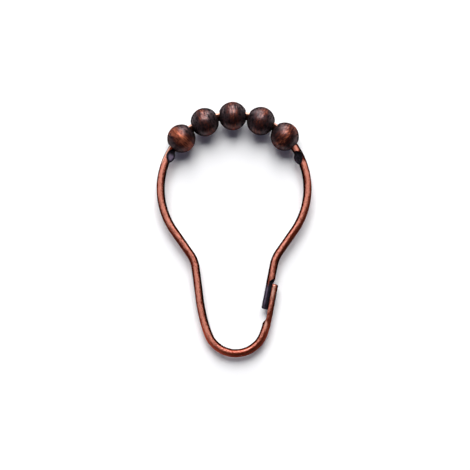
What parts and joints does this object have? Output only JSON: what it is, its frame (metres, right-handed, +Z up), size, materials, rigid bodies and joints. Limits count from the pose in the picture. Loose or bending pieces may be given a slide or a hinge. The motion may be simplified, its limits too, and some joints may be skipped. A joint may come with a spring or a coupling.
{
  "type": "shower curtain ring",
  "caption": "Pear-shaped bent-wire shower curtain ring in antique copper, with roller balls on top and a spring gate whose flattened ends lap at the side.",
  "frame": {"origin": "centre of the round lobe of the ring, where the curtain rod passes", "axes": "+Z up as the ring hangs, with the balls on top and the curtain hook below; +Y along the curtain rod; +X across the ring to the gate side"},
  "size_m": [0.0436, 0.008, 0.0719],
  "materials": {
    "wire_copper": "antique copper plate on spring steel wire, polished on the crown, dark in the recesses",
    "ball_copper": "oil-rubbed dark copper on steel balls, worn to copper round the middle"
  },
  "bodies": {
    "wire": {"ring_wire": "wire_copper"},
    "ball_1": {"roller_ball_1": "ball_copper"},
    "ball_2": {"roller_ball_2": "ball_copper"},
    "ball_3": {"roller_ball_3": "ball_copper"},
    "ball_4": {"roller_ball_4": "ball_copper"},
    "ball_5": {"roller_ball_5": "ball_copper"}
  },
  "joints": [
    {"name": "ball_1_roll", "type": "hinge", "parent": "wire", "child": "ball_1", "pos_m": [-0.0148, 0, 0.01411], "axis": [-0.69, 0, -0.7238], "continuous": true},
    {"name": "ball_2_roll", "type": "hinge", "parent": "wire", "child": "ball_2", "pos_m": [-0.00823, 0, 0.01873], "axis": [-0.9155, 0, -0.4024], "continuous": true},
    {"name": "ball_3_roll", "type": "hinge", "parent": "wire", "child": "ball_3", "pos_m": [-0.00039, 0, 0.02045], "axis": [-0.9998, 0, -0.019], "continuous": true},
    {"name": "ball_4_roll", "type": "hinge", "parent": "wire", "child": "ball_4", "pos_m": [0.00751, 0, 0.01902], "axis": [-0.9301, 0, 0.3674], "continuous": true},
    {"name": "ball_5_roll", "type": "hinge", "parent": "wire", "child": "ball_5", "pos_m": [0.01426, 0, 0.01467], "axis": [-0.717, 0, 0.6971], "continuous": true}
  ]
}
